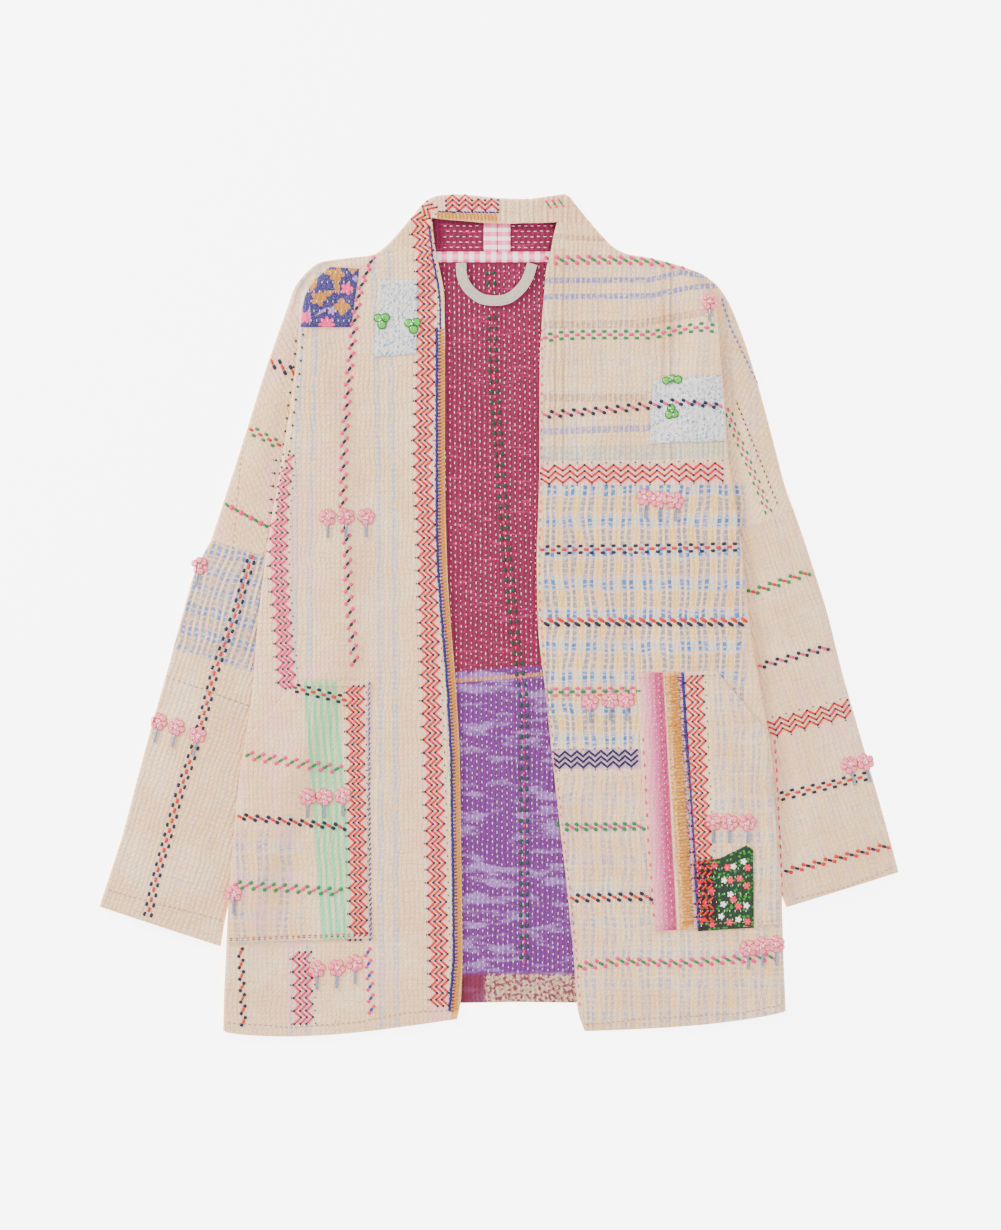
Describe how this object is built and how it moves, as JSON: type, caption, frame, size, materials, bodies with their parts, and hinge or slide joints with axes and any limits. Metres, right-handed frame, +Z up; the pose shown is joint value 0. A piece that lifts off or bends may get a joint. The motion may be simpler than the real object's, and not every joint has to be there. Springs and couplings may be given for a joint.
{
  "type": "quilted sequin jacket",
  "caption": "Reversible quilted open-front jacket with dropped shoulders, stand collar, patch pockets and a hanging loop, laid flat on its back.",
  "frame": {"origin": "bottom centre of the part's box, on the surface that the jacket lies on", "axes": "+Z up from that surface, +Y from hem to collar, +X to the wearer's left"},
  "size_m": [0.759, 0.7995, 0.0148],
  "materials": {
    "cream_quilt": "matte quilted cotton with coloured stitches",
    "magenta_quilt": "matte quilted cotton with white running stitches",
    "patch_print": "printed cotton",
    "pale_print": "printed cotton",
    "green_print": "printed cotton",
    "gingham": "checked cotton tape",
    "loop_cloth": "woven cotton band"
  },
  "bodies": {
    "root": {"right_front": "cream_quilt", "left_front": "cream_quilt", "back": "magenta_quilt", "right_sleeve": "cream_quilt", "left_sleeve": "cream_quilt", "right_pocket": "cream_quilt", "left_pocket": "cream_quilt", "shoulder_patch": "patch_print", "neck_patch": "pale_print", "chest_patch": "pale_print", "pocket_patch": "green_print", "neck_tape": "gingham", "right_collar_tape": "gingham", "left_collar_tape": "gingham", "hanging_loop": "loop_cloth"}
  },
  "joints": []
}
